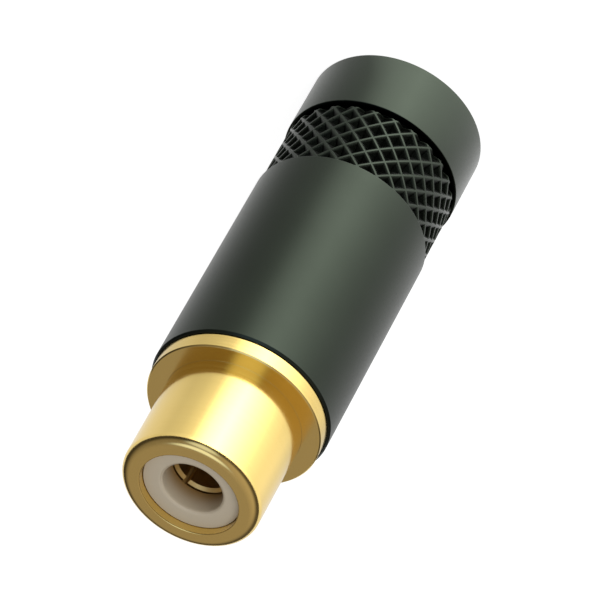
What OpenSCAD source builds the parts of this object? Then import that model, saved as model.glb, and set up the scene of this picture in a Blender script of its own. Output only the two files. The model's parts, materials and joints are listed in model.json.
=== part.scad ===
// In-line phono socket for a cable, standing on the rear face of its shell.
// Millimetres. The origin is the centre of the rear face, and +Z runs forward to the mouth.

/* [Pin and centre contact] */
// Diameter of the plug pin that the contact grips
pin_d = 3.2; // [2.6:0.05:3.8]
// Wall of the tubular contact
contact_wall = 0.35; // [0.2:0.05:0.6]
// Distance from the front insulator's face back to the front rim of the contact
contact_setback = 1.65; // [1:0.05:3]
// Solid metal at the closed end of the contact tube
contact_floor = 1.6; // [0.8:0.1:2.4]
// Number of spring tines round the contact
tine_count = 4; // [2:1:6]
// Width of the slots between the tines
tine_slot = 0.3; // [0.15:0.05:0.5]
// Length of the slots between the tines
tine_len = 4.6; // [2:0.1:6]
// Turn of the slots away from the earth lug's strap
tine_turn = -19; // [-45:1:45]
// Diameter of the contact's tail
tail_d = 2.0; // [1.4:0.1:2.4]
// Length of the tail behind the earth lug's ring
tail_len = 4.8; // [3.5:0.1:7]
// Wall of the solder cup at the end of the tail
cup_wall = 0.3; // [0.2:0.05:0.4]
// Depth of the solder cup
cup_depth = 3.0; // [1.5:0.1:3.4]

/* [Insulators] */
// Radial overlap of the front lip that stops the contact
insulator_lip = 0.15; // [0.05:0.05:0.3]
// Countersink of the pin hole
pin_countersink = 0.1; // [0.04:0.02:0.5]
// Depth of the front insulator's face below the mouth
insulator_recess = 0.5; // [0.1:0.05:0.8]
// Radial room for the tines to spring
contact_room = 0.1; // [0.05:0.01:0.2]
// Wall of the front insulator round the contact
insulator_wall = 0.88; // [0.5:0.01:1]
// Radial step of the front insulator's rear shoulder
shoulder_step = 0.45; // [0.3:0.05:0.8]
// Thickness of the front insulator's rear shoulder
shoulder_t = 1.0; // [0.6:0.1:1.6]
// Thickness of the rear insulator
rear_insulator_t = 1.2; // [0.8:0.1:2]

/* [Socket body] */
// Wall of the barrel round the front insulator
barrel_wall = 1.2; // [0.9:0.01:1.6]
// Length of the barrel ahead of the flange
barrel_len = 6.55; // [5:0.05:9]
// Rounding of the barrel's edge at the mouth
mouth_round = 0.55; // [0.2:0.05:0.8]
// Thickness of the flange
flange_t = 1.0; // [0.6:0.1:1.6]
// How far the flange stays inside the shell's outline, radially
flange_inset = 0.18; // [0.1:0.02:0.5]
// Chamfer on the flange's front edge
flange_chamfer = 0.08; // [0.04:0.02:0.2]
// Wall of the threaded spigot round the insulators
spigot_wall = 1.1; // [0.8:0.05:1.4]
// Length of the threaded spigot behind the flange
spigot_len = 5.8; // [5:0.1:9]
// Width of the relief at the root of the thread
relief_w = 0.6; // [0.3:0.1:1]
// Depth of that relief
relief_depth = 0.35; // [0.1:0.05:0.5]
// Thickness of the lip that is rolled over the lug
lip_t = 0.4; // [0.2:0.05:0.6]
// Radial overlap of that lip
lip_overlap = 0.5; // [0.2:0.05:0.7]

/* [Earth lug] */
// Thickness of the lug's sheet metal
lug_t = 0.4; // [0.25:0.05:0.6]
// Radial gap between the lug's strap and the lip that it passes
strap_gap = 0.1; // [0.05:0.05:0.3]
// Width of the strap between the ring and the claws
strap_w = 2.2; // [1.6:0.1:2.8]
// How far the claws bulge out of the strap's plane
claw_bulge = 0.12; // [0.05:0.01:0.3]
// Width of the claws along the cable
claw_w = 3.0; // [2:0.1:4]
// Angle that the claws wrap round the cable
claw_wrap = 250; // [180:5:280]
// Distance from the shell's rear wall to the claws
claw_clear = 3.4; // [2:0.1:5]
// Diameter of the solder eye in the strap
eye_d = 1.1; // [0.6:0.1:1.4]

/* [Shell] */
// Wall of the shell over the thread
shell_wall = 0.88; // [0.75:0.01:1.3]
// Depth of the thread, which sets the bore behind it
thread_depth = 0.3; // [0.15:0.05:0.45]
// How far the thread in the shell runs on past the end of the spigot
thread_runout = 0.5; // [0.2:0.1:1]
// Length of the plain rear collar
collar_len = 4.4; // [3:0.1:6]
// Length of the plain front of the shell
plain_len = 15.4; // [12:0.05:20]
// Thickness of the rear wall
rear_wall = 1.6; // [0.8:0.1:2.4]
// Diameter of the cable entry
cable_d = 6.2; // [4.6:0.1:7]
// Chamfer at both ends of the cable entry
cable_chamfer = 0.3; // [0.1:0.05:0.35]
// Chamfer on the shell's outer edges
shell_chamfer = 0.12; // [0.04:0.02:0.3]
// Lead-in chamfer at the mouth of the shell
thread_lead = 0.25; // [0.1:0.05:0.4]

/* [Knurl] */
// Length of the knurled band
knurl_len = 4.8; // [2:0.1:7]
// Number of ridges of each hand round the shell
knurl_starts = 26; // [16:1:34]
// Angle of the ridges from the shell's axis
knurl_angle = 45; // [35:1:55]
// Width of a ridge
ridge_w = 0.17; // [0.1:0.01:0.25]
// Depth of the pyramid-shaped cells between the ridges
cell_depth = 0.36; // [0.1:0.01:0.4]
// How far the ridges lie below the shell's surface
knurl_drop = 0.12; // [0.04:0.02:0.2]
// Width of the plain groove between the knurl and the collar
groove_w = 0.35; // [0.2:0.05:0.8]
// How far the groove is cut below the bottom of the cells
groove_drop = 0.05; // [0.02:0.01:0.1]

/* [Insulating sleeve] */
// Wall of the sleeve
sleeve_wall = 0.4; // [0.2:0.05:0.6]

/* [Clearances] */
// Radial gap where one piece is pressed or dropped into another
fit_gap = 0.02; // [0.01:0.01:0.05]
// Radial gap between the thread on the spigot and the thread in the shell
thread_gap = 0.06; // [0.04:0.01:0.1]
// Radial gap between the sleeve and the shell
sleeve_gap = 0.1; // [0.05:0.01:0.15]
// Gap between the shell and the flange when it is screwed home
seat_gap = 0.03; // [0.02:0.01:0.1]
// Gap from the sleeve to the end of the spigot
sleeve_end_gap = 0.3; // [0.1:0.1:0.6]

/* [Hidden] */
$fn = 96;
// Overshoot of cuts past the faces that they open
over = 0.5;
// Straight steps in a rounded edge
arc_steps = 6;

// Radii from the pin outwards
pin_r = pin_d / 2;
contact_r = pin_r + contact_wall;
insulator_bore_r = contact_r + contact_room;
pin_hole_r = contact_r - insulator_lip;
insulator_r = insulator_bore_r + insulator_wall;
barrel_bore_r = insulator_r + fit_gap;
barrel_r = barrel_bore_r + barrel_wall;
shoulder_r = insulator_r + shoulder_step;
counterbore_r = shoulder_r + fit_gap;
lip_r = counterbore_r - lip_overlap;
spigot_r = counterbore_r + spigot_wall;
shell_thread_r = spigot_r + thread_gap;
shell_bore_r = shell_thread_r - thread_depth;
shell_r = shell_thread_r + shell_wall;
flange_r = shell_r - flange_inset;
ridge_r = shell_r - knurl_drop;
cell_tip_r = ridge_r - cell_depth;
groove_r = cell_tip_r - groove_drop;
sleeve_r = shell_bore_r - sleeve_gap;
cable_r = cable_d / 2;
tail_r = tail_d / 2;
cup_r = tail_r - cup_wall;
eye_r = eye_d / 2;
strap_x = sqrt(pow(lip_r - strap_gap, 2) - pow(strap_w / 2, 2)) - lug_t;
claw_r = strap_x + claw_bulge;

// Heights from the rear face forward to the mouth
knurl_z = collar_len + groove_w;
knurl_end_z = knurl_z + knurl_len;
shell_len = knurl_end_z + plain_len;
flange_z = shell_len + seat_gap;
flange_front_z = flange_z + flange_t;
mouth_z = flange_front_z + barrel_len;
spigot_z = flange_z - spigot_len;
lug_z = spigot_z + lip_t;
rear_insulator_z = lug_z + lug_t;
shoulder_z = rear_insulator_z + rear_insulator_t;
counterbore_end_z = shoulder_z + shoulder_t;
insulator_front_z = mouth_z - insulator_recess;
contact_front_z = insulator_front_z - contact_setback;
tail_end_z = lug_z - tail_len;
claw_z = rear_wall + claw_clear;
claw_end_z = claw_z + claw_w;
thread_end_z = spigot_z - thread_runout;
sleeve_len = spigot_z - sleeve_end_gap - rear_wall;

// The knurl is a lattice of diamond cells, in rows half an axial pitch apart
cell_pitch = 2 * PI * ridge_r / knurl_starts;
row_pitch = cell_pitch / tan(knurl_angle) / 2;
row_count = floor(knurl_len / row_pitch) + 1;
first_row_z = knurl_z + (knurl_len - (row_count - 1) * row_pitch) / 2;
cell_shrink = 1 - ridge_w / (cell_pitch * cos(knurl_angle));
cell_half_w = cell_pitch / 2 * cell_shrink;
cell_half_h = row_pitch * cell_shrink;

black = "#3f4742";
gold = "#d9b765";
white = "#e6e3dc";
clear_plastic = "#d5dad8";

// Points of a turned edge's rounding, from its end face down to its side
function edge_arc(outer_r, end_z, round_r) = [
    for (turn = [90 : -90 / arc_steps : 0])
        [outer_r - round_r * (1 - cos(turn)), end_z - round_r * (1 - sin(turn))]
];

// A tube about the axis between two heights
module tube(outer_r, inner_r, from_z, to_z) {
    translate([0, 0, from_z])
        difference() {
            cylinder(r = outer_r, h = to_z - from_z);
            translate([0, 0, -over])
                cylinder(r = inner_r, h = to_z - from_z + 2 * over);
        }
}

// One cell: a pyramid with its tip inwards, cut off where the band ends
module knurl_cell(cell_z) {
    rise = cell_depth + knurl_drop / 2;
    growth = rise / cell_depth;
    half_w = cell_half_w * growth;
    half_h = cell_half_h * growth;
    band_z = knurl_z - groove_w / 2;
    intersection() {
        translate([cell_tip_r + rise, 0, cell_z])
            rotate([90, 0, -90])
                linear_extrude(height = rise, scale = 0)
                    polygon([[half_w, 0], [0, half_h], [-half_w, 0], [0, -half_h]]);
        translate([cell_tip_r - over, -half_w - over, band_z])
            cube([rise + 2 * over, 2 * (half_w + over), knurl_end_z - band_z]);
    }
}

// All the cells of the knurl: the first row runs out into the groove
module knurl_cells() {
    for (row = [0 : row_count - 1], start = [0 : knurl_starts - 1])
        rotate([0, 0, (start + (row % 2) / 2) * 360 / knurl_starts])
            knurl_cell(first_row_z + row * row_pitch);
}

// Turned cover: collar, run-out groove, knurled band, plain front, thread and cable entry
module shell() {
    color(black)
        difference() {
            rotate_extrude()
                polygon([
                    [cable_r + cable_chamfer, 0],
                    [shell_r - shell_chamfer, 0],
                    [shell_r, shell_chamfer],
                    [shell_r, collar_len],
                    [groove_r, collar_len],
                    [groove_r, knurl_z],
                    [ridge_r, knurl_z],
                    [ridge_r, knurl_end_z],
                    [shell_r, knurl_end_z],
                    [shell_r, shell_len - shell_chamfer],
                    [shell_r - shell_chamfer, shell_len],
                    [shell_thread_r + thread_lead, shell_len],
                    [shell_thread_r, shell_len - thread_lead],
                    [shell_thread_r, thread_end_z],
                    [shell_bore_r, thread_end_z - thread_depth],
                    [shell_bore_r, rear_wall],
                    [cable_r + cable_chamfer, rear_wall],
                    [cable_r, rear_wall - cable_chamfer],
                    [cable_r, cable_chamfer]
                ]);
            knurl_cells();
        }
}

// Thin tube that lines the shell behind the spigot
module insulating_sleeve() {
    color(clear_plastic)
        tube(sleeve_r, sleeve_r - sleeve_wall, rear_wall, rear_wall + sleeve_len);
}

// Turned body: barrel, flange and spigot, with the rear lip rolled over the lug
module socket_body() {
    color(gold)
        rotate_extrude()
            polygon(concat(
                [[barrel_bore_r, mouth_z]],
                edge_arc(barrel_r, mouth_z, mouth_round),
                [
                    [barrel_r, flange_front_z],
                    [flange_r - flange_chamfer, flange_front_z],
                    [flange_r, flange_front_z - flange_chamfer],
                    [flange_r, flange_z],
                    [spigot_r - relief_depth, flange_z],
                    [spigot_r - relief_depth, flange_z - relief_w],
                    [spigot_r, flange_z - relief_w - relief_depth],
                    [spigot_r, spigot_z + thread_depth],
                    [spigot_r - thread_depth, spigot_z],
                    [lip_r, spigot_z],
                    [lip_r, lug_z],
                    [counterbore_r, lug_z],
                    [counterbore_r, counterbore_end_z],
                    [barrel_bore_r, counterbore_end_z]
                ]
            ));
}

// White bush in the barrel: pin hole, room for the contact and a shoulder at the rear
module front_insulator() {
    color(white)
        rotate_extrude()
            polygon([
                [pin_hole_r + pin_countersink, insulator_front_z],
                [insulator_r, insulator_front_z],
                [insulator_r, counterbore_end_z],
                [shoulder_r, counterbore_end_z],
                [shoulder_r, shoulder_z],
                [insulator_bore_r, shoulder_z],
                [insulator_bore_r, contact_front_z + contact_room],
                [pin_hole_r, contact_front_z + contact_room],
                [pin_hole_r, insulator_front_z - pin_countersink]
            ]);
}

// Disc behind the contact, with a hole for its tail
module rear_insulator() {
    color(white)
        tube(shoulder_r, tail_r + fit_gap, rear_insulator_z, shoulder_z);
}

// Tubular contact with spring tines in front and a solder cup behind
module centre_contact() {
    color(gold)
        difference() {
            union() {
                translate([0, 0, shoulder_z])
                    cylinder(r = contact_r, h = contact_front_z - shoulder_z);
                translate([0, 0, tail_end_z])
                    cylinder(r = tail_r, h = shoulder_z - tail_end_z);
            }
            translate([0, 0, shoulder_z + contact_floor])
                cylinder(r = pin_r, h = contact_front_z - shoulder_z);
            translate([0, 0, contact_front_z - contact_wall / 2])
                cylinder(r1 = pin_r, r2 = pin_r + contact_wall, h = contact_wall);
            for (slot = [0 : tine_count - 1])
                rotate([0, 0, tine_turn + slot * 360 / tine_count])
                    translate([0, -tine_slot / 2, contact_front_z - tine_len])
                        cube([contact_r + over, tine_slot, tine_len + over]);
            translate([0, 0, tail_end_z - over])
                cylinder(r = cup_r, h = cup_depth + over);
            translate([-tail_r - over, -tail_r - over, tail_end_z - over])
                cube([tail_r + over, 2 * (tail_r + over), cup_depth / 2 + over]);
        }
}

// Stamped lug: ring under the rolled lip, strap with a solder eye, and claws for the cable
module earth_lug() {
    color(gold)
        difference() {
            union() {
                tube(shoulder_r, claw_r, lug_z, rear_insulator_z);
                translate([strap_x, -strap_w / 2, claw_end_z - lug_t])
                    cube([lug_t, strap_w, rear_insulator_z - claw_end_z + lug_t]);
                rotate([0, 0, -claw_wrap / 2])
                    translate([0, 0, claw_z])
                        rotate_extrude(angle = claw_wrap)
                            translate([claw_r, 0])
                                square([lug_t, claw_w]);
            }
            translate([strap_x - over, 0, (claw_end_z + lug_z) / 2])
                rotate([0, 90, 0])
                    cylinder(r = eye_r, h = lug_t + 2 * over);
        }
}

shell();
insulating_sleeve();
socket_body();
front_insulator();
rear_insulator();
centre_contact();
earth_lug();
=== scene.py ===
"""An in-line phono socket for a cable: its turned, knurled and plated surfaces and a small photo studio."""

import json
import math

import bmesh
import bpy
import numpy as np
from bpy.props import FloatProperty, FloatVectorProperty, IntProperty, PointerProperty
from mathutils import Matrix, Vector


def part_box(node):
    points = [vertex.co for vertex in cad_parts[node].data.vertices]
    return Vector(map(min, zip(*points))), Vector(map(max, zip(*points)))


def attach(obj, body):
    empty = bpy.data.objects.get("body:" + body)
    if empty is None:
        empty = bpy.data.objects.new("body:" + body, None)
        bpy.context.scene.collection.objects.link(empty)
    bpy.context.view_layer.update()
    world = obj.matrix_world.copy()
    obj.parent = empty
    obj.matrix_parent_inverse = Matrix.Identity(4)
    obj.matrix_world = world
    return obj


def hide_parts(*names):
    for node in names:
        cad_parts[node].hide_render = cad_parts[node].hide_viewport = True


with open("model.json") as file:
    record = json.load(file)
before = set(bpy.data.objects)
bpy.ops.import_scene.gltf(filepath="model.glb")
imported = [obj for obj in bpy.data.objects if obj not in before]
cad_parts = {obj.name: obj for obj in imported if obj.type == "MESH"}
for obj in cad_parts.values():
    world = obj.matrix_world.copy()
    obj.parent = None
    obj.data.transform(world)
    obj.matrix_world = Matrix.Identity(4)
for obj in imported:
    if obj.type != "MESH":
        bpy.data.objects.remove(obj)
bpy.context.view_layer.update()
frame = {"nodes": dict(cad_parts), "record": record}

bl_info = {
    "name": "Phono cable socket",
    "version": (1, 0, 0),
    "blender": (4, 5, 0),
    "location": "View3D > Sidebar > Phono Socket",
    "description": "Builds the surfaces of an in-line phono socket and a studio to see it in",
    "category": "Object",
}

MM = 0.001
# Rounding that turning leaves on an edge
EDGE = 0.03 * MM

# Sizes that the frame gives, in metres
MOUNT_R = {m["name"]: m["dims"].get("r_mm", 0) * MM for m in frame["record"]["mounts"]}
SHELL_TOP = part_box("shell")[1]
SLEEVE_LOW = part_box("insulating_sleeve")[0]
BODY_LOW, BODY_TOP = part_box("socket_body")
FRONT_LOW, FRONT_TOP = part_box("front_insulator")
CONTACT_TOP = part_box("centre_contact")[1]
LUG_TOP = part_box("earth_lug")[1]


def linear(code):
    """Linear colour of an sRGB hex code: each channel is raised by the sRGB curve."""
    srgb = np.array([int(code[i:i + 2], 16) for i in (1, 3, 5)]) / 255
    return tuple(np.where(srgb <= 0.04045, srgb / 12.92, ((srgb + 0.055) / 1.055) ** 2.4).tolist())


def length(name, description, metres):
    """A length that a user can set."""
    return FloatProperty(
        name=name, description=description, default=metres, min=0, precision=5, unit="LENGTH"
    )


def angle(name, description, degrees):
    """An angle that a user can set."""
    return FloatProperty(
        name=name, description=description, default=math.radians(degrees), subtype="ANGLE"
    )


def amount(name, description, value):
    """A plain number that a user can set."""
    return FloatProperty(name=name, description=description, default=value, min=0)


def colour(name, description, code):
    """A colour that a user can set, from its sRGB hex code."""
    return FloatVectorProperty(
        name=name, description=description, default=linear(code), min=0, max=1, subtype="COLOR"
    )


class ShellSizes(bpy.types.PropertyGroup):
    """Sizes of the black screw-on shell."""

    radius: length("Radius", "Radius of the plain front and the collar", SHELL_TOP.x)
    height: length("Length", "Length from the rear face to the front edge", SHELL_TOP.z)
    chamfer: length("Edge chamfer", "Chamfer on both outer edges", 0.12 * MM)
    collar: length("Collar", "Length of the plain rear collar", 4.4 * MM)
    groove: length("Groove", "Width of the groove between collar and knurl", 0.35 * MM)
    groove_drop: length("Groove drop", "How far the groove lies below the cells' tips", 0.05 * MM)
    knurl: length("Knurl", "Length of the knurled band", 4.8 * MM)
    knurl_drop: length("Knurl drop", "How far the ridges lie below the plain front", 0.12 * MM)
    starts: IntProperty(name="Starts", description="Ridges of each hand", default=26, min=3)
    ridge: length("Ridge", "Width of a ridge's crest", 0.12 * MM)
    cell_depth: length("Cell depth", "Depth of the cells' tips below the ridges", 0.36 * MM)
    thread_bore: length("Thread bore", "Radius of the bore round the spigot", 4.56 * MM)
    thread_lead: length("Lead-in", "Chamfer at the mouth of the shell", 0.25 * MM)
    thread_run: length("Thread length", "Length of the bore round the spigot", 6.27 * MM)
    bore: length("Bore", "Radius of the bore behind the thread", 4.26 * MM)
    rear_wall: length("Rear wall", "Thickness of the rear wall", SLEEVE_LOW.z)
    cable: length("Cable entry", "Radius of the cable entry", MOUNT_R["cable_entry"])
    cable_chamfer: length("Entry chamfer", "Chamfer at both ends of the entry", 0.3 * MM)


class BodySizes(bpy.types.PropertyGroup):
    """Sizes of the gold-plated body."""

    mouth: length("Mouth", "Height of the mouth above the rear face", BODY_TOP.z)
    barrel: length("Barrel", "Radius of the barrel", MOUNT_R["barrel"])
    barrel_run: length("Barrel length", "Length of the barrel ahead of the flange", 6.55 * MM)
    mouth_round: length("Mouth rounding", "Rounding of the barrel's edge at the mouth", 0.55 * MM)
    flange: length("Flange", "Radius of the flange", BODY_TOP.x)
    flange_wall: length("Flange thickness", "Thickness of the flange", 1.0 * MM)
    flange_chamfer: length("Flange chamfer", "Chamfer on the flange's front edge", 0.08 * MM)
    spigot: length("Spigot", "Radius over the spigot's thread", 4.5 * MM)
    spigot_low: length("Spigot end", "Height of the spigot's rear end", BODY_LOW.z)
    relief: length("Relief", "Width of the relief behind the flange", 0.6 * MM)
    relief_depth: length("Relief depth", "Depth of that relief", 0.35 * MM)
    end_chamfer: length("End chamfer", "Chamfer on the spigot's rear end", 0.3 * MM)
    pitch: length("Pitch", "Pitch of the spigot's right-hand thread", 0.75 * MM)
    thread_depth: length("Thread depth", "Depth of the thread", 0.3 * MM)
    bore: length("Barrel bore", "Radius of the bore that holds the insulator", 2.95 * MM)
    counterbore: length("Counterbore", "Radius of the counterbore in the spigot", 3.4 * MM)
    lip: length("Lip", "Radius inside the rolled rear lip", 2.9 * MM)
    lug_ring: length("Lug ring", "Thickness of the earth lug's ring in the counterbore", 0.4 * MM)
    bush_shoulder: length("Bush shoulder", "Thickness of the insulator's shoulder", 1.0 * MM)


class InsulatorSizes(bpy.types.PropertyGroup):
    """Sizes of the white front insulator."""

    radius: length("Radius", "Radius in the barrel", 2.93 * MM)
    shoulder: length("Shoulder", "Radius of the rear shoulder", FRONT_TOP.x)
    shoulder_run: length("Shoulder length", "Thickness of the rear shoulder", 1.0 * MM)
    hole: length("Pin hole", "Radius of the hole for the plug's pin", 1.8 * MM)
    countersink: length("Countersink", "Size of the pin hole's soft countersink", 0.1 * MM)
    bore: length("Bore", "Radius of the room round the contact", 2.05 * MM)
    room: length("Room", "Gap ahead of the contact's rim", 0.1 * MM)


class Finishes(bpy.types.PropertyGroup):
    """Colours of the plated metals and the plastics."""

    black_plate: colour("Black plate", "Satin black chrome on brass", "#343A32")
    gold_plate: colour("Gold plate", "Polished gold on brass", "#F9DB87")
    gold_shade: colour("Gold shade", "Gold in the turning marks", "#F2D17C")
    # Painted shade: darker than the body's gold, for the contact deep in the pin hole
    shaded_gold_flash: colour("Gold flash", "Thin, dull gold on the contact and the lug", "#E4C27A")
    white_plastic: colour("White plastic", "Turned acetal", "#D9CBB2")
    # Painted shade and painted gold reflection deep in the pin hole, not a colour of the acetal
    pin_hole_painted_shade: colour("Plastic shade", "Acetal deep in the pin hole, beside the gold", "#96733F")
    sleeve_plastic: colour("Sleeve plastic", "Natural polypropylene tube", "#C9CFCB")


class StudioSettings(bpy.types.PropertyGroup):
    """Camera, floor, ceiling and lamps."""

    azimuth: angle("Azimuth", "Way round to the camera, from -Y towards +X", -1.76)
    elevation: angle("Elevation", "Height of the camera over the horizon", 41.80)
    roll: angle("Roll", "Turn of the camera about its own line of sight", -150.76)
    distance: length("Distance", "From the camera to the point that it aims at", 271.42 * MM)
    aim_height: length("Aim height", "Height of the point that the camera aims at", 15.906 * MM)
    aim_side: FloatProperty(
        name="Aim offset", description="How far the aim lies to the side of the axis",
        default=-0.102 * MM, precision=5, unit="LENGTH",
    )
    lens: amount("Lens", "Focal length in millimetres for a 36 mm sensor", 283.56)
    floor: length("Floor", "Width of the floor", 900 * MM)
    floor_glow: amount("Floor glow", "Light of the floor itself, where it is seen", 0.86)
    foot_light: amount("Foot light", "Mirrored light close to the object's foot", 0.9)
    ceiling_light: amount("Ceiling light", "Mirrored light of the ceiling high up", 0.385)
    ceiling_tint: colour("Ceiling tint", "Warm colour of the ceiling's light", "#FFF4EF")
    ceiling_shade: amount("Ceiling shade", "Mirrored light of the ceiling low down", 0.08)
    lamp_tint: colour("Lamp tint", "Cool colour of the two lamps in the ceiling", "#D3E0FF")
    camera_lamp: amount("Camera lamp", "Mirrored light of the lamp beside the camera", 1.2)
    camera_lamp_turn: angle("Camera lamp turn", "Way round from the camera to its lamp, towards +X", 16)
    overhead_lamp: amount("Overhead lamp", "Mirrored light of the lamp overhead", 1.5)
    overhead_lean: angle("Overhead lean", "Lean of the lamp overhead towards +X", 6)
    ambient: amount("Ambient light", "Even light from all round, on all but the metal", 0.42)
    soft_lamp: amount("Soft lamp", "Power in watts of the lamp that lights all but the metal", 0.85)
    soft_lamp_turn: angle("Soft lamp turn", "Way round from the camera to the soft lamp, towards +X", -25)
    soft_lamp_tilt: angle("Soft lamp tilt", "Tilt of the soft lamp from overhead towards the camera", 45)
    soft_lamp_width: length("Soft lamp width", "Width of the soft lamp", 300 * MM)
    soft_lamp_distance: length("Soft lamp distance", "From the soft lamp to the object's foot", 500 * MM)


class SocketSettings(bpy.types.PropertyGroup):
    """Everything that a user can set, in one place."""

    shell: PointerProperty(type=ShellSizes)
    body: PointerProperty(type=BodySizes)
    insulator: PointerProperty(type=InsulatorSizes)
    finish: PointerProperty(type=Finishes)
    studio: PointerProperty(type=StudioSettings)


# Surfaces

# How far the extra points of a straight run lie from its ends
RUN_MARGIN = 0.025 * MM


def unit(vectors):
    """Each row divided by its own length."""
    return vectors / np.linalg.norm(vectors, axis=-1, keepdims=True)


def smoothstep(share):
    """3s^2 - 2s^3 of a share held between 0 and 1."""
    held = np.clip(share, 0, 1)
    return held * held * (3 - 2 * held)


def turned_outline(corners, arc_points=4):
    """Closed outline of a turned piece from (radius, height, rounding) corners, anticlockwise.

    Each corner becomes an arc tangent to both of its sides, which starts rounding / tan(half the corner's
    angle) before it and ends as far behind it. A straight run between two arcs gets a point close to each
    of its ends, so that its shading stays flat up to the arc.
    """
    corners = np.array(corners)
    at, rounding = corners[:, :2], corners[:, 2:]
    back, ahead = unit(np.roll(at, 1, 0) - at), unit(np.roll(at, -1, 0) - at)
    half = np.arccos(np.clip((back * ahead).sum(1, keepdims=True), -1, 1)) / 2
    centre = at + unit(back + ahead) * rounding / np.sin(half)
    first = (at + back * rounding / np.tan(half) - centre)[:, None]
    last = (at + ahead * rounding / np.tan(half) - centre)[:, None]
    sweep = (math.pi - 2 * half)[:, None]
    share = np.linspace(0, 1, arc_points)[None, :, None]
    spoke = (np.sin((1 - share) * sweep) * first + np.sin(share * sweep) * last) / np.sin(sweep)
    arcs = centre[:, None] + spoke
    run = np.roll(arcs[:, 0], -1, 0) - arcs[:, -1]
    margin = unit(run) * RUN_MARGIN
    ends = np.stack([arcs[:, -1] + margin, arcs[:, -1] + run - margin], 1)
    long_run = np.linalg.norm(run, axis=1) > 4 * RUN_MARGIN
    keep = np.ones((len(at), arc_points + 2), bool)
    keep[:, arc_points:] = long_run[:, None]
    return np.concatenate([arcs, ends], 1)[keep]


def with_rows(outline, radius, heights):
    """The outline with more points in its upward run at that radius, one at each of the heights."""
    on_run = np.abs(outline[:-1, 0] - radius) + np.abs(outline[1:, 0] - radius) < 0.01 * RUN_MARGIN
    rise = np.where(on_run, outline[1:, 1] - outline[:-1, 1], 0)
    start = int(np.argmax(rise))
    inside = heights[(heights > outline[start, 1]) & (heights < outline[start + 1, 1])]
    rows = np.stack([np.full_like(inside, radius), inside], 1)
    return np.concatenate([outline[:start + 1], rows, outline[start + 1:]])


def turned_grid(outline, columns):
    """Radius, height and angle of a turned surface on a grid: outline points down, equal angles across."""
    around = np.arange(columns) * 2 * math.pi / columns
    radius, height = np.repeat(outline[:, :1], columns, 1), np.repeat(outline[:, 1:], columns, 1)
    return radius, height, np.broadcast_to(around, radius.shape)


def wrapped_faces(radius):
    """Faces of a grid that closes on itself both ways, as quads where its rows keep their radius.

    Where the surface is carved, each cell is cut into two triangles along the diagonal whose ends differ
    least in radius, so that crests and valleys that run askew stay straight.
    """
    rows, columns = radius.shape
    index = np.arange(rows * columns).reshape(rows, columns)
    corner = [np.roll(index, (-down, -across), (0, 1)) for down, across in ((0, 0), (0, 1), (1, 1), (1, 0))]
    a, b, c, d = (corners.ravel() for corners in corner)
    depth = radius.ravel()
    carved = (depth[a] != depth[b]) | (depth[c] != depth[d])
    along_ac = np.abs(depth[a] - depth[c]) <= np.abs(depth[b] - depth[d])
    quads = np.stack([a, b, c, d], 1)[~carved]
    ac, bd = carved & along_ac, carved & ~along_ac
    triangles = np.concatenate([
        np.stack([a, b, c], 1)[ac], np.stack([a, c, d], 1)[ac],
        np.stack([a, b, d], 1)[bd], np.stack([b, c, d], 1)[bd],
    ])
    return quads.tolist() + triangles.tolist()


def turned_piece(name, radius, height, around, crease):
    """A closed mesh object of a turned grid, smooth apart from edges sharper than crease degrees."""
    points = np.stack([radius * np.cos(around), radius * np.sin(around), height], -1).reshape(-1, 3)
    mesh = bpy.data.meshes.new(name)
    mesh.from_pydata(points.tolist(), [], wrapped_faces(radius))
    mesh.polygons.foreach_set("use_smooth", np.ones(len(mesh.polygons), bool))
    mesh.set_sharp_from_angle(angle=math.radians(crease))
    mesh.validate()
    piece = bpy.data.objects.new(name, mesh)
    bpy.context.scene.collection.objects.link(piece)
    return piece


def stand_for(piece, node, body, material):
    """The piece takes the place of a node, moves with its body and wears the material."""
    piece.data.materials.append(material)
    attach(piece, body)
    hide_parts(node)


def dress(node, material):
    """A node that shows as it is wears the material."""
    mesh = frame["nodes"][node].data
    mesh.materials.clear()
    mesh.materials.append(material)


# Materials

def add_node(owner, kind, settings=None, inputs=None):
    """Adds a node to a material's or world's tree, with attributes and with input values or links."""
    node = owner.node_tree.nodes.new(kind)
    for key, value in (settings or {}).items():
        setattr(node, key, value)
    for key, value in (inputs or {}).items():
        if isinstance(value, bpy.types.NodeSocket):
            owner.node_tree.links.new(value, node.inputs[key])
        else:
            node.inputs[key].default_value = value
    return node


def blank_material(name):
    """A material without nodes."""
    material = bpy.data.materials.new(name)
    material.use_nodes = True
    material.node_tree.nodes.clear()
    return material


def new_material(name):
    """A material with a surface output and a Principled shader, which is returned with it."""
    material = blank_material(name)
    output = add_node(material, "ShaderNodeOutputMaterial")
    shader = add_node(material, "ShaderNodeBsdfPrincipled")
    material.node_tree.links.new(shader.outputs["BSDF"], output.inputs["Surface"])
    return material, shader


def rgba(tone, share=1):
    """A share of a colour as a node takes it, with full cover."""
    return (*[share * channel for channel in tone], 1)


def per_metre(millimetres):
    """Scale of a pattern whose features are that far apart."""
    return 1 / (millimetres * MM)


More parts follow.
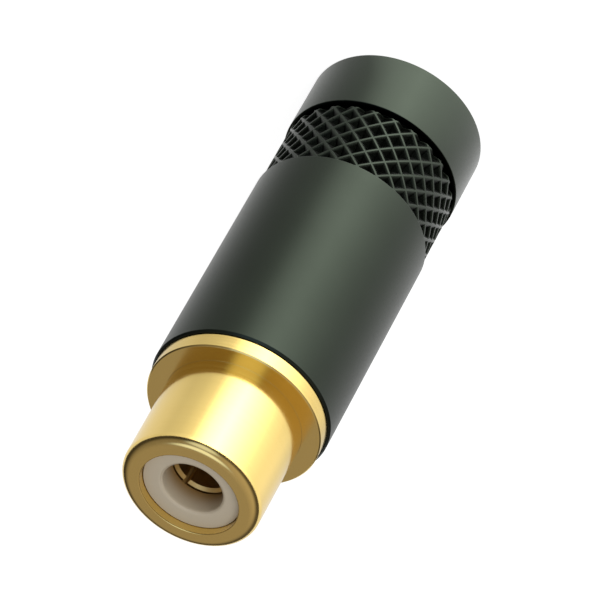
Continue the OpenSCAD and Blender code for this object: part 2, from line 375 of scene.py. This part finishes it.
def black_chromed_brass(finish, size):
    """Brass, bead-blasted and black chromed: a dark, faintly green metal with a satin grain.

    The grain blurs every reflection, so the eye gets soft bands of light along the shell and no mirror.
    """
    material, shader = new_material("black_chromed_brass")
    place = add_node(material, "ShaderNodeTexCoord").outputs["Object"]
    # Blasting leaves pits of a few hundredths of a millimetre, drawn here at a tenth so that they show
    grain = add_node(material, "ShaderNodeTexNoise", inputs={
        "Vector": place, "Scale": per_metre(0.1), "Detail": 3, "Roughness": 0.6})
    # Plating varies slowly over a few millimetres
    cloud = add_node(material, "ShaderNodeTexNoise", inputs={
        "Vector": place, "Scale": per_metre(4), "Detail": 2})
    tone = add_node(material, "ShaderNodeMix", {"data_type": "RGBA"}, {
        "Factor": cloud.outputs["Fac"],
        "A": rgba(finish.black_plate, 0.9), "B": rgba(finish.black_plate, 1.1)})
    # Painted shade: the plate's colour darkens to a fifth in the cells and the groove, below the crests
    spoke = add_node(material, "ShaderNodeVectorMath", {"operation": "MULTIPLY"}, {0: place, 1: (1, 1, 0)})
    from_axis = add_node(material, "ShaderNodeVectorMath", {"operation": "LENGTH"}, {
        0: spoke.outputs["Vector"]})
    crest = size.radius - size.knurl_drop
    shade_deepest_at = crest - 0.3 * size.cell_depth
    shade_ends_at = crest - 0.005 * MM
    cell_shade = add_node(material, "ShaderNodeMapRange", inputs={
        "Value": from_axis.outputs["Value"],
        "From Min": shade_deepest_at, "From Max": shade_ends_at, "To Min": 0.2, "To Max": 1})
    # The plate's colour times the painted shade of the cells and the groove
    shaded_plate = add_node(material, "ShaderNodeVectorMath", {"operation": "SCALE"}, {
        0: tone.outputs["Result"], "Scale": cell_shade.outputs["Result"]})
    satin = add_node(material, "ShaderNodeMapRange", inputs={
        "Value": grain.outputs["Fac"], "From Min": 0.3, "From Max": 0.7, "To Min": 0.28, "To Max": 0.36})
    pits = add_node(material, "ShaderNodeBump", inputs={
        "Height": grain.outputs["Fac"], "Strength": 0.12, "Distance": 0.02 * MM})
    shader.inputs["Metallic"].default_value = 1
    material.node_tree.links.new(shaded_plate.outputs["Vector"], shader.inputs["Base Color"])
    material.node_tree.links.new(satin.outputs["Result"], shader.inputs["Roughness"])
    material.node_tree.links.new(pits.outputs["Normal"], shader.inputs["Normal"])
    return material


def gold_on_turned_brass(finish):
    """Turned brass under thin gold: a warm yellow mirror, a little blurred round the axis.

    The tool's fine rings show through the plating as faint lines across the barrel.
    """
    material, shader = new_material("gold_on_turned_brass")
    place = add_node(material, "ShaderNodeTexCoord").outputs["Object"]
    # Rings of a fine feed, about 0.05 mm, drawn at 0.12 mm so that they show; they run round the axis only
    along = add_node(material, "ShaderNodeMapping", {"vector_type": "POINT"}, {
        "Vector": place, "Scale": (0.02, 0.02, 1)})
    rings = add_node(material, "ShaderNodeTexNoise", inputs={
        "Vector": along.outputs["Vector"], "Scale": per_metre(0.12), "Detail": 2})
    tone = add_node(material, "ShaderNodeMix", {"data_type": "RGBA"}, {
        "Factor": rings.outputs["Fac"],
        "A": rgba(finish.gold_shade), "B": rgba(finish.gold_plate)})
    polish = add_node(material, "ShaderNodeMapRange", inputs={
        "Value": rings.outputs["Fac"], "From Min": 0.3, "From Max": 0.7, "To Min": 0.13, "To Max": 0.2})
    marks = add_node(material, "ShaderNodeBump", inputs={
        "Height": rings.outputs["Fac"], "Strength": 0.06, "Distance": 0.01 * MM})
    shader.inputs["Metallic"].default_value = 1
    material.node_tree.links.new(tone.outputs["Result"], shader.inputs["Base Color"])
    material.node_tree.links.new(polish.outputs["Result"], shader.inputs["Roughness"])
    material.node_tree.links.new(marks.outputs["Normal"], shader.inputs["Normal"])
    return material


def gold_flash_on_brass(finish):
    """Small brass parts under a flash of gold, plated loose in a barrel: a dull yellow, whose darkness is
    painted shade for the contact deep in the pin hole.

    Tumbling leaves a fine matt grain, so the contact's rim shows as a soft line and not as a mirror.
    """
    material, shader = new_material("gold_flash_on_brass")
    place = add_node(material, "ShaderNodeTexCoord").outputs["Object"]
    # Tumbling marks of about 0.02 mm, drawn at 0.08 mm so that they show
    grain = add_node(material, "ShaderNodeTexNoise", inputs={
        "Vector": place, "Scale": per_metre(0.08), "Detail": 2})
    # Painted shade: this gold is darker than the body's, for the contact deep in the pin hole
    tone = add_node(material, "ShaderNodeMix", {"data_type": "RGBA"}, {
        "Factor": grain.outputs["Fac"],
        "A": rgba(finish.shaded_gold_flash, 0.9), "B": rgba(finish.shaded_gold_flash)})
    matt = add_node(material, "ShaderNodeMapRange", inputs={
        "Value": grain.outputs["Fac"], "From Min": 0.3, "From Max": 0.7, "To Min": 0.35, "To Max": 0.45})
    shader.inputs["Metallic"].default_value = 1
    material.node_tree.links.new(tone.outputs["Result"], shader.inputs["Base Color"])
    material.node_tree.links.new(matt.outputs["Result"], shader.inputs["Roughness"])
    return material


def turned_acetal(finish):
    """White acetal turned from rod: a soft, slightly waxy white with faint tool rings."""
    material, shader = new_material("turned_acetal")
    place = add_node(material, "ShaderNodeTexCoord").outputs["Object"]
    # Mottling of the rod, about a millimetre across
    mottle = add_node(material, "ShaderNodeTexNoise", inputs={
        "Vector": place, "Scale": per_metre(1), "Detail": 3})
    tone = add_node(material, "ShaderNodeMix", {"data_type": "RGBA"}, {
        "Factor": mottle.outputs["Fac"],
        "A": rgba(finish.white_plastic, 0.93), "B": rgba(finish.white_plastic)})
    # Painted shade and painted gold reflection: the wall of the pin hole darkens to a warm brown with
    # depth, from below the face to the contact
    height = add_node(material, "ShaderNodeSeparateXYZ", inputs={"Vector": place}).outputs["Z"]
    below_face = FRONT_TOP.z - 0.1 * MM
    depth = add_node(material, "ShaderNodeMapRange", {"interpolation_type": "SMOOTHSTEP"}, {
        "Value": height, "From Min": below_face, "From Max": CONTACT_TOP.z})
    warm = add_node(material, "ShaderNodeMix", {"data_type": "RGBA"}, {
        "Factor": depth.outputs["Result"],
        "A": tone.outputs["Result"], "B": rgba(finish.pin_hole_painted_shade)})
    # Tool rings 0.15 mm apart about the axis; the texture itself turns by 20 radians a unit
    rings = add_node(material, "ShaderNodeTexWave", {
        "wave_type": "RINGS", "rings_direction": "Z"}, {
        "Vector": place, "Scale": per_metre(0.15) * 2 * math.pi / 20, "Distortion": 0.4})
    marks = add_node(material, "ShaderNodeBump", inputs={
        "Height": rings.outputs["Fac"], "Strength": 0.05, "Distance": 0.01 * MM})
    shader.inputs["Roughness"].default_value = 0.42
    shader.inputs["IOR"].default_value = 1.48
    material.node_tree.links.new(warm.outputs["Result"], shader.inputs["Base Color"])
    material.node_tree.links.new(marks.outputs["Normal"], shader.inputs["Normal"])
    return material


def natural_polypropylene(finish):
    """Extruded polypropylene tube: milky, smooth and slightly see-through, with long draw lines."""
    material, shader = new_material("natural_polypropylene")
    place = add_node(material, "ShaderNodeTexCoord").outputs["Object"]
    # Draw lines 0.2 mm apart that run along the tube
    across = add_node(material, "ShaderNodeMapping", {"vector_type": "POINT"}, {
        "Vector": place, "Scale": (1, 1, 0.03)})
    lines = add_node(material, "ShaderNodeTexNoise", inputs={
        "Vector": across.outputs["Vector"], "Scale": per_metre(0.2), "Detail": 2})
    tone = add_node(material, "ShaderNodeMix", {"data_type": "RGBA"}, {
        "Factor": lines.outputs["Fac"],
        "A": rgba(finish.sleeve_plastic, 0.9), "B": rgba(finish.sleeve_plastic)})
    shader.inputs["Roughness"].default_value = 0.3
    shader.inputs["IOR"].default_value = 1.49
    material.node_tree.links.new(tone.outputs["Result"], shader.inputs["Base Color"])
    return material


# Pieces

class SOCKET_OT_black_shell(bpy.types.Operator):
    """Builds the black shell with its knurled band"""

    bl_idname = "phono_socket.black_shell"
    bl_label = "Black shell"

    # Steps of the grid across one cell of the knurl
    CELL_STEPS = 18
    # Edges sharper than this many degrees stay sharp
    CREASE = 32

    def execute(self, context):
        settings = context.scene.phono_socket
        size = settings.shell
        radius, height, around = turned_grid(self.outline(size), size.starts * self.CELL_STEPS)
        radius = radius - self.carving(size, radius, height, around)
        shell = turned_piece("turned_shell", radius, height, around, self.CREASE)
        material = black_chromed_brass(settings.finish, size)
        stand_for(shell, "shell", "shell", material)
        return {"FINISHED"}

    def levels(self, size):
        """Heights of the knurl's two ends, the cells' pitch, and the height of the first row of centres."""
        low = size.collar + size.groove
        high = low + size.knurl
        pitch = 2 * math.pi * (size.radius - size.knurl_drop) / size.starts
        rows = math.floor(size.knurl / (pitch / 2)) + 1
        first = low + (size.knurl - (rows - 1) * pitch / 2) / 2
        return low, high, pitch, first

    def outline(self, size):
        """Section of the shell, with a row of points for each step of the knurl."""
        low, high, pitch, first = self.levels(size)
        ridge_r = size.radius - size.knurl_drop
        groove_r = ridge_r - size.cell_depth - size.groove_drop
        thread_low = size.height - size.thread_run
        outline = turned_outline([
            (size.cable + size.cable_chamfer, 0, EDGE),
            (size.radius - size.chamfer, 0, EDGE),
            (size.radius, size.chamfer, EDGE),
            (size.radius, size.collar, EDGE),
            (groove_r, size.collar, EDGE),
            (groove_r, low, EDGE),
            (ridge_r, low, EDGE),
            (ridge_r, high, EDGE),
            (size.radius, high, EDGE),
            (size.radius, size.height - size.chamfer, EDGE),
            (size.radius - size.chamfer, size.height, EDGE),
            (size.thread_bore + size.thread_lead, size.height, EDGE),
            (size.thread_bore, size.height - size.thread_lead, EDGE),
            (size.thread_bore, thread_low, EDGE),
            (size.bore, thread_low - (size.thread_bore - size.bore), EDGE),
            (size.bore, size.rear_wall, EDGE),
            (size.cable + size.cable_chamfer, size.rear_wall, EDGE),
            (size.cable, size.rear_wall - size.cable_chamfer, EDGE),
            (size.cable, size.cable_chamfer, EDGE),
        ])
        step = pitch / self.CELL_STEPS
        rows = first + np.arange(-self.CELL_STEPS, size.knurl / step + self.CELL_STEPS) * step
        return with_rows(outline, ridge_r, rows)

    def carving(self, size, radius, height, around):
        """How far the surface lies below the turned one, in the knurled band.

        Cell centres lie where both turn + rise and turn - rise are whole numbers, with turn in cells round
        the shell and rise in cells along it, so ridges lie halfway between. The distance to the nearer
        ridge gives the depth: none on the crest, then a straight slope down to the tip in the middle of the
        cell. The walls at both ends of the band are stretched down to it, from the edge of the groove and
        from the edge of the plain front.
        """
        low, high, pitch, first = self.levels(size)
        turn = around * size.starts / (2 * math.pi)
        rise = (height - first) / pitch
        off_ridge = [np.abs(lattice - np.floor(lattice) - 0.5) for lattice in (turn + rise, turn - rise)]
        across = pitch * math.cos(math.pi / 4)
        from_crest = np.minimum(*off_ridge) * across - size.ridge / 2
        depth = size.cell_depth * np.clip(from_crest / (across / 2 - size.ridge / 2), 0, 1)
        ridge_r = size.radius - size.knurl_drop
        foot = ridge_r - size.cell_depth - size.groove_drop + EDGE
        head = size.radius - EDGE
        share = np.minimum((radius - foot) / (ridge_r - foot), (head - radius) / (head - ridge_r))
        slack = 0.001 * EDGE
        in_band = (height > low - slack) & (height < high + slack)
        return np.where(in_band, depth * np.clip(share, 0, 1), 0)


class SOCKET_OT_gold_body(bpy.types.Operator):
    """Builds the gold barrel, flange and threaded spigot"""

    bl_idname = "phono_socket.gold_body"
    bl_label = "Gold body"

    COLUMNS = 288
    # Steps of the grid along one pitch of the thread, and flat share of half a pitch at crest and root
    PITCH_STEPS = 22
    THREAD_FLAT = 0.05
    # Points in a rounded edge
    ARC_POINTS = 10
    # Edges sharper than this many degrees stay sharp
    CREASE = 50
    # Roundings of the corner between barrel and flange and of the mouth's inner edge
    FILLET = 0.015 * MM
    INNER_EDGE = 0.06 * MM

    def execute(self, context):
        settings = context.scene.phono_socket
        size = settings.body
        radius, height, around = turned_grid(self.outline(size), self.COLUMNS)
        radius = radius - self.thread(size, radius, height, around)
        body = turned_piece("turned_body", radius, height, around, self.CREASE)
        material = gold_on_turned_brass(settings.finish)
        stand_for(body, "socket_body", "socket", material)
        return {"FINISHED"}

    def outline(self, size):
        """Section of the body, with a row of points for each step of the thread."""
        flange_front = size.mouth - size.barrel_run
        flange_rear = flange_front - size.flange_wall
        relief_r = size.spigot - size.relief_depth
        relief_low = flange_rear - size.relief
        bush_z = FRONT_LOW.z + size.bush_shoulder
        lug_z = LUG_TOP.z - size.lug_ring
        outline = turned_outline([
            (size.bore, size.mouth, self.INNER_EDGE),
            (size.bore, bush_z, EDGE),
            (size.counterbore, bush_z, EDGE),
            (size.counterbore, lug_z, EDGE),
            (size.lip, lug_z, EDGE),
            (size.lip, size.spigot_low, EDGE),
            (size.spigot - size.end_chamfer, size.spigot_low, EDGE),
            (size.spigot, size.spigot_low + size.end_chamfer, EDGE),
            (size.spigot, relief_low - size.relief_depth, EDGE),
            (relief_r, relief_low, EDGE),
            (relief_r, flange_rear, EDGE),
            (size.flange, flange_rear, EDGE),
            (size.flange, flange_front - size.flange_chamfer, EDGE),
            (size.flange - size.flange_chamfer, flange_front, EDGE),
            (size.barrel, flange_front, self.FILLET),
            (size.barrel, size.mouth, size.mouth_round),
        ], self.ARC_POINTS)
        rows = np.arange(size.spigot_low, flange_rear, size.pitch / self.PITCH_STEPS)
        return with_rows(outline, size.spigot, rows)

    def thread(self, size, radius, height, around):
        """Depth of the right-hand thread below the spigot.

        The phase is the height in pitches less the turn round the axis, so a crest climbs as it turns. The
        thread is rolled: the depth follows 3s^2 - 2s^3 from a rounded crest down the flank to a rounded
        root, and fades in over the first and out over the last half pitch.
        """
        low = size.spigot_low + size.end_chamfer
        high = size.mouth - size.barrel_run - size.flange_wall - size.relief - size.relief_depth
        phase = height / size.pitch - around / (2 * math.pi)
        from_crest = 2 * np.abs(phase - np.floor(phase) - 0.5)
        flank = smoothstep((from_crest - self.THREAD_FLAT) / (1 - 2 * self.THREAD_FLAT))
        ends = np.minimum(height - low, high - height) / (size.pitch / 2)
        on_spigot = np.abs(radius - size.spigot) < 0.001 * MM
        return np.where(on_spigot, size.thread_depth * flank * smoothstep(ends), 0)


class SOCKET_OT_white_insulators(bpy.types.Operator):
    """Builds the front insulator and finishes the disc behind it"""

    bl_idname = "phono_socket.white_insulators"
    bl_label = "White insulators"

    COLUMNS = 224
    # Edges sharper than this many degrees stay sharp
    CREASE = 40
    # Rounding of the pin hole's countersink
    SOFT_EDGE = 0.3 * MM

    def execute(self, context):
        settings = context.scene.phono_socket
        radius, height, around = turned_grid(self.outline(settings.insulator), self.COLUMNS)
        bush = turned_piece("front_bush", radius, height, around, self.CREASE)
        material = turned_acetal(settings.finish)
        stand_for(bush, "front_insulator", "socket", material)
        dress("rear_insulator", material)
        return {"FINISHED"}

    def outline(self, size):
        """Section of the bush: pin hole with a soft countersink, room for the contact, rear shoulder."""
        front, low = FRONT_TOP.z, FRONT_LOW.z
        step = CONTACT_TOP.z + size.room
        return turned_outline([
            (size.hole, front - size.countersink, self.SOFT_EDGE),
            (size.hole, step, EDGE),
            (size.bore, step, EDGE),
            (size.bore, low, EDGE),
            (size.shoulder, low, EDGE),
            (size.shoulder, low + size.shoulder_run, EDGE),
            (size.radius, low + size.shoulder_run, EDGE),
            (size.radius, front, EDGE),
            (size.hole + size.countersink, front, self.SOFT_EDGE),
        ])


class SOCKET_OT_contact_and_lug(bpy.types.Operator):
    """Finishes the centre contact and the earth lug"""

    bl_idname = "phono_socket.contact_and_lug"
    bl_label = "Contact and lug"

    def execute(self, context):
        material = gold_flash_on_brass(context.scene.phono_socket.finish)
        dress("centre_contact", material)
        dress("earth_lug", material)
        return {"FINISHED"}


class SOCKET_OT_sleeve(bpy.types.Operator):
    """Finishes the insulating sleeve in the shell"""

    bl_idname = "phono_socket.sleeve"
    bl_label = "Sleeve"

    def execute(self, context):
        dress("insulating_sleeve", natural_polypropylene(context.scene.phono_socket.finish))
        return {"FINISHED"}


# Studio

def stage_card(name, mesh, material):
    """A surface that belongs to the studio."""
    mesh.materials.append(material)
    card = bpy.data.objects.new(name, mesh)
    bpy.context.scene.collection.objects.link(card)
    return card


def flat_card(name, width, height, material):
    """A level square surface of the studio about the object's axis."""
    half = width / 2
    mesh = bpy.data.meshes.new(name)
    corners = [(-half, -half, height), (half, -half, height), (half, half, height), (-half, half, height)]
    mesh.from_pydata(corners, [], [(0, 1, 2, 3)])
    return stage_card(name, mesh, material)


def give_light(material, light):
    """The material gives the light that the socket holds, and nothing else."""
    lit = add_node(material, "ShaderNodeEmission", inputs={"Color": light})
    add_node(material, "ShaderNodeOutputMaterial", inputs={"Surface": lit.outputs["Emission"]})


def set_stops(ramp, stops):
    """The ramp runs straight through the given (position, grey level) stops."""
    elements = ramp.color_ramp.elements
    for position, _ in stops[1:-1]:
        elements.new(position)
    for element, (position, level) in zip(elements, stops):
        element.position = position
        element.color = (level, level, level, 1)


def only_reflected(card):
    """The card shows in reflections and nowhere else, and lights and shades nothing."""
    card.visible_camera = False
    card.visible_diffuse = False
    card.visible_transmission = False
    card.visible_shadow = False


def seen_directly(owner):
    """1 for rays from the camera and for those that a mirror or glass sends on, 0 for the rest."""
    path = add_node(owner, "ShaderNodeLightPath").outputs
    mirrored = add_node(owner, "ShaderNodeMath", {"operation": "MAXIMUM"}, {
        0: path["Is Glossy Ray"], 1: path["Is Transmission Ray"]})
    either = add_node(owner, "ShaderNodeMath", {"operation": "MAXIMUM"}, {
        0: path["Is Camera Ray"], 1: mirrored.outputs["Value"]})
    return either.outputs["Value"]


class SOCKET_OT_studio(bpy.types.Operator):
    """Sets up the camera, the white floor, the soft lamp and what the metal mirrors"""

    bl_idname = "phono_socket.studio"
    bl_label = "Studio"

    # Light that the metal mirrors from the floor: degrees round from the camera towards +X, and strength
    ROUND_LIGHT = (
        (-180, 0.9), (-160, 0.85), (-120, 0.9), (-100, 1.1), (-80, 1.12), (-60, 1.35), (-40, 2.0),
        (-20, 2.9), (0, 4.0), (20, 2.9), (40, 1.05), (60, 0.78), (80, 0.7), (100, 0.8), (120, 0.84),
        (160, 0.9), (180, 0.9),
    )
    # Share of that light by distance from the axis in millimetres
    SPREAD = ((0, 1.08), (8, 1.08), (14, 0.95), (23, 0.88), (30, 0.78), (34, 0.82), (37, 1.0), (40, 1.0))
    # Distances from the axis between which the light at the foot fades
    FOOT = (8 * MM, 14 * MM)
    # Height of the sheet of light over the floor
    SHEET = 0.02 * MM
    # Rise of a direction (its Z) where the ceiling's light starts and stops growing
    RISE = (0.38, 0.67)
    # Sideways part of a direction (its X) and the ceiling's share of light there, on each side
    SIDES = ((-0.6, 1.2), (0.6, 0.6))
    # Degrees from the middle of each lamp where its light starts to fade and ends
    CAMERA_LAMP_REACH = (8, 28)
    OVERHEAD_REACH = (8, 26)
    # The floor's grey, as paper in the soft lamp's light
    PAPER = (0.5, 0.5, 0.5, 1)
    # Width of the camera's sensor in millimetres
    SENSOR = 36

    def execute(self, context):
        studio = context.scene.phono_socket.studio
        self.camera(context.scene, studio)
        self.floor(studio)
        self.floor_light(studio)
        self.ceiling(studio)
        self.world(context.scene, studio)
        self.soft_lamp(context.scene, studio)
        context.scene.view_settings.view_transform = "Standard"
        return {"FINISHED"}

    def camera(self, scene, studio):
        """The camera looks at a point of the axis from its azimuth and elevation, and is rolled."""
        data = bpy.data.cameras.new("studio_camera")
        data.lens = studio.lens
        data.sensor_width = self.SENSOR
        data.clip_start = 0.01
        data.clip_end = 10
        camera = bpy.data.objects.new("studio_camera", data)
        camera.matrix_world = (
            Matrix.Translation((0, 0, studio.aim_height))
            @ Matrix.Rotation(studio.azimuth, 4, "Z")
            @ Matrix.Translation((studio.aim_side, 0, 0))
            @ Matrix.Rotation(math.pi / 2 - studio.elevation, 4, "X")
            @ Matrix.Rotation(studio.roll, 4, "Z")
            @ Matrix.Translation((0, 0, studio.distance))
        )
        scene.collection.objects.link(camera)
        scene.camera = camera

    def floor(self, studio):
        """A white floor: it takes the object's shadow, and glows enough to look white."""
        material = blank_material("white_floor")
        paper = add_node(material, "ShaderNodeBsdfDiffuse", inputs={"Color": self.PAPER})
        glow = add_node(material, "ShaderNodeMath", {"operation": "MULTIPLY"}, {
            0: seen_directly(material), 1: studio.floor_glow})
        lit = add_node(material, "ShaderNodeEmission", inputs={"Strength": glow.outputs["Value"]})
        both = add_node(material, "ShaderNodeAddShader", inputs={
            0: paper.outputs["BSDF"], 1: lit.outputs["Emission"]})
        add_node(material, "ShaderNodeOutputMaterial", inputs={"Surface": both.outputs["Shader"]})
        flat_card("floor", studio.floor, 0, material)

    def floor_light(self, studio):
        """A sheet on the floor that only the metal mirrors, brightest towards the camera.

        Its strength follows ROUND_LIGHT round the object, and SPREAD outwards from its foot.
        """
        material = blank_material("floor_light")
        place = add_node(material, "ShaderNodeTexCoord").outputs["Object"]
        turned = add_node(material, "ShaderNodeMapping", {"vector_type": "POINT"}, {
            "Vector": place, "Rotation": (0, 0, math.pi / 2 - studio.azimuth)})
        turn = add_node(material, "ShaderNodeTexGradient", {"gradient_type": "RADIAL"}, {
            "Vector": turned.outputs["Vector"]})
        round_light = add_node(material, "ShaderNodeValToRGB", inputs={"Fac": turn.outputs["Fac"]})
        set_stops(round_light, [(degrees / 360 + 0.5, strength) for degrees, strength in self.ROUND_LIGHT])
        far = self.SPREAD[-1][0]
        from_axis = add_node(material, "ShaderNodeVectorMath", {"operation": "LENGTH"}, {0: place})
        reach = add_node(material, "ShaderNodeMapRange", inputs={
            "Value": from_axis.outputs["Value"], "From Max": far * MM})
        spread = add_node(material, "ShaderNodeValToRGB", inputs={"Fac": reach.outputs["Result"]})
        set_stops(spread, [(distance / far, share) for distance, share in self.SPREAD])
        lit = add_node(material, "ShaderNodeMath", {"operation": "MULTIPLY"}, {
            0: round_light.outputs["Color"], 1: spread.outputs["Color"]})
        foot = add_node(material, "ShaderNodeMapRange", inputs={
            "Value": from_axis.outputs["Value"],
            "From Min": self.FOOT[0], "From Max": self.FOOT[1], "To Min": studio.foot_light, "To Max": 0})
        strength = add_node(material, "ShaderNodeMath", {"operation": "MAXIMUM"}, {
            0: lit.outputs["Value"], 1: foot.outputs["Result"]})
        give_light(material, strength.outputs["Value"])
        only_reflected(flat_card("floor_light", studio.floor, self.SHEET, material))

    def ceiling(self, studio):
        """A round ceiling that only the metal mirrors, with a lamp beside the camera and another overhead.

        The ceiling itself is dim and warm, and darkest low down and towards +X. Its lamps are cool.
        """
        material = blank_material("dim_ceiling")
        place = add_node(material, "ShaderNodeTexCoord").outputs["Object"]
        unit_way = add_node(material, "ShaderNodeVectorMath", {"operation": "NORMALIZE"}, {0: place})
        way = unit_way.outputs["Vector"]
        axes = add_node(material, "ShaderNodeSeparateXYZ", inputs={"Vector": way}).outputs
        high_up = add_node(material, "ShaderNodeMapRange", inputs={
            "Value": axes["Z"], "From Min": self.RISE[0], "From Max": self.RISE[1],
            "To Min": studio.ceiling_shade, "To Max": studio.ceiling_light})
        (left, left_share), (right, right_share) = self.SIDES
        sideways = add_node(material, "ShaderNodeMapRange", inputs={
            "Value": axes["X"],
            "From Min": left, "From Max": right, "To Min": left_share, "To Max": right_share})
        dim = add_node(material, "ShaderNodeMath", {"operation": "MULTIPLY"}, {
            0: high_up.outputs["Result"], 1: sideways.outputs["Result"]})
        turn = studio.azimuth + studio.camera_lamp_turn
        camera_way = (
            math.sin(turn) * math.cos(studio.elevation),
            -math.cos(turn) * math.cos(studio.elevation),
            math.sin(studio.elevation),
        )
        overhead_way = (math.sin(studio.overhead_lean), 0, math.cos(studio.overhead_lean))
        lamps = add_node(material, "ShaderNodeMath", {"operation": "MAXIMUM"}, {
            0: self.round_lamp(material, way, camera_way, self.CAMERA_LAMP_REACH, studio.camera_lamp),
            1: self.round_lamp(material, way, overhead_way, self.OVERHEAD_REACH, studio.overhead_lamp)})
        warm_light = add_node(material, "ShaderNodeVectorMath", {"operation": "SCALE"}, {
            0: studio.ceiling_tint, "Scale": dim.outputs["Value"]})
        lamp_light = add_node(material, "ShaderNodeVectorMath", {"operation": "SCALE"}, {
            0: studio.lamp_tint, "Scale": lamps.outputs["Value"]})
        light = add_node(material, "ShaderNodeVectorMath", {"operation": "MAXIMUM"}, {
            0: warm_light.outputs["Vector"], 1: lamp_light.outputs["Vector"]})
        give_light(material, light.outputs["Vector"])
        within_floor = 0.49 * studio.floor
        ball = bmesh.new()
        bmesh.ops.create_icosphere(ball, subdivisions=4, radius=within_floor)
        mesh = bpy.data.meshes.new("ceiling")
        ball.to_mesh(mesh)
        ball.free()
        only_reflected(stage_card("ceiling", mesh, material))

    def round_lamp(self, material, way, about, reach, strength):
        """Light of a round lamp about a direction, which fades between two angles from it."""
        inner, outer = [math.cos(math.radians(degrees)) for degrees in reach]
        towards = add_node(material, "ShaderNodeVectorMath", {"operation": "DOT_PRODUCT"}, {
            0: way, 1: about})
        lamp = add_node(material, "ShaderNodeMapRange", {"interpolation_type": "SMOOTHSTEP"}, {
            "Value": towards.outputs["Value"], "From Min": outer, "From Max": inner, "To Max": strength})
        return lamp.outputs["Result"]

    def world(self, scene, studio):
        """White where it is seen, and an even grey light elsewhere."""
        world = bpy.data.worlds.new("studio_world")
        world.use_nodes = True
        world.node_tree.nodes.clear()
        strength = add_node(world, "ShaderNodeMapRange", inputs={
            "Value": seen_directly(world), "To Min": studio.ambient, "To Max": 1})
        light = add_node(world, "ShaderNodeBackground", inputs={"Strength": strength.outputs["Result"]})
        add_node(world, "ShaderNodeOutputWorld", inputs={"Surface": light.outputs["Background"]})
        scene.world = world

    def soft_lamp(self, scene, studio):
        """A wide soft lamp high up beside the camera, which the metal doesn't mirror."""
        data = bpy.data.lights.new("soft_box", "AREA")
        data.shape = "DISK"
        data.size = studio.soft_lamp_width
        data.energy = studio.soft_lamp
        lamp = bpy.data.objects.new("soft_box", data)
        lamp.matrix_world = (
            Matrix.Rotation(studio.azimuth + studio.soft_lamp_turn, 4, "Z")
            @ Matrix.Rotation(studio.soft_lamp_tilt, 4, "X")
            @ Matrix.Translation((0, 0, studio.soft_lamp_distance))
        )
        lamp.visible_glossy = False
        scene.collection.objects.link(lamp)


class SOCKET_PT_sidebar(bpy.types.Panel):
    """Lists the steps that build the socket"""

    bl_idname = "SOCKET_PT_sidebar"
    bl_label = "Phono Socket"
    bl_space_type = "VIEW_3D"
    bl_region_type = "UI"
    bl_category = "Phono Socket"

    def draw(self, context):
        for step in STEPS:
            self.layout.operator(step.bl_idname)


STEPS = (
    SOCKET_OT_studio,
    SOCKET_OT_black_shell,
    SOCKET_OT_gold_body,
    SOCKET_OT_white_insulators,
    SOCKET_OT_contact_and_lug,
    SOCKET_OT_sleeve,
)
CLASSES = (
    ShellSizes, BodySizes, InsulatorSizes, Finishes, StudioSettings, SocketSettings,
    *STEPS, SOCKET_PT_sidebar,
)


def register():
    for cls in CLASSES:
        bpy.utils.register_class(cls)
    bpy.types.Scene.phono_socket = PointerProperty(type=SocketSettings)


def unregister():
    del bpy.types.Scene.phono_socket
    for cls in reversed(CLASSES):
        bpy.utils.unregister_class(cls)


def main():
    """Builds everything in order."""
    register()
    bpy.ops.phono_socket.studio()
    bpy.ops.phono_socket.black_shell()
    bpy.ops.phono_socket.gold_body()
    bpy.ops.phono_socket.white_insulators()
    bpy.ops.phono_socket.contact_and_lug()
    bpy.ops.phono_socket.sleeve()


if __name__ == "__main__":
    main()
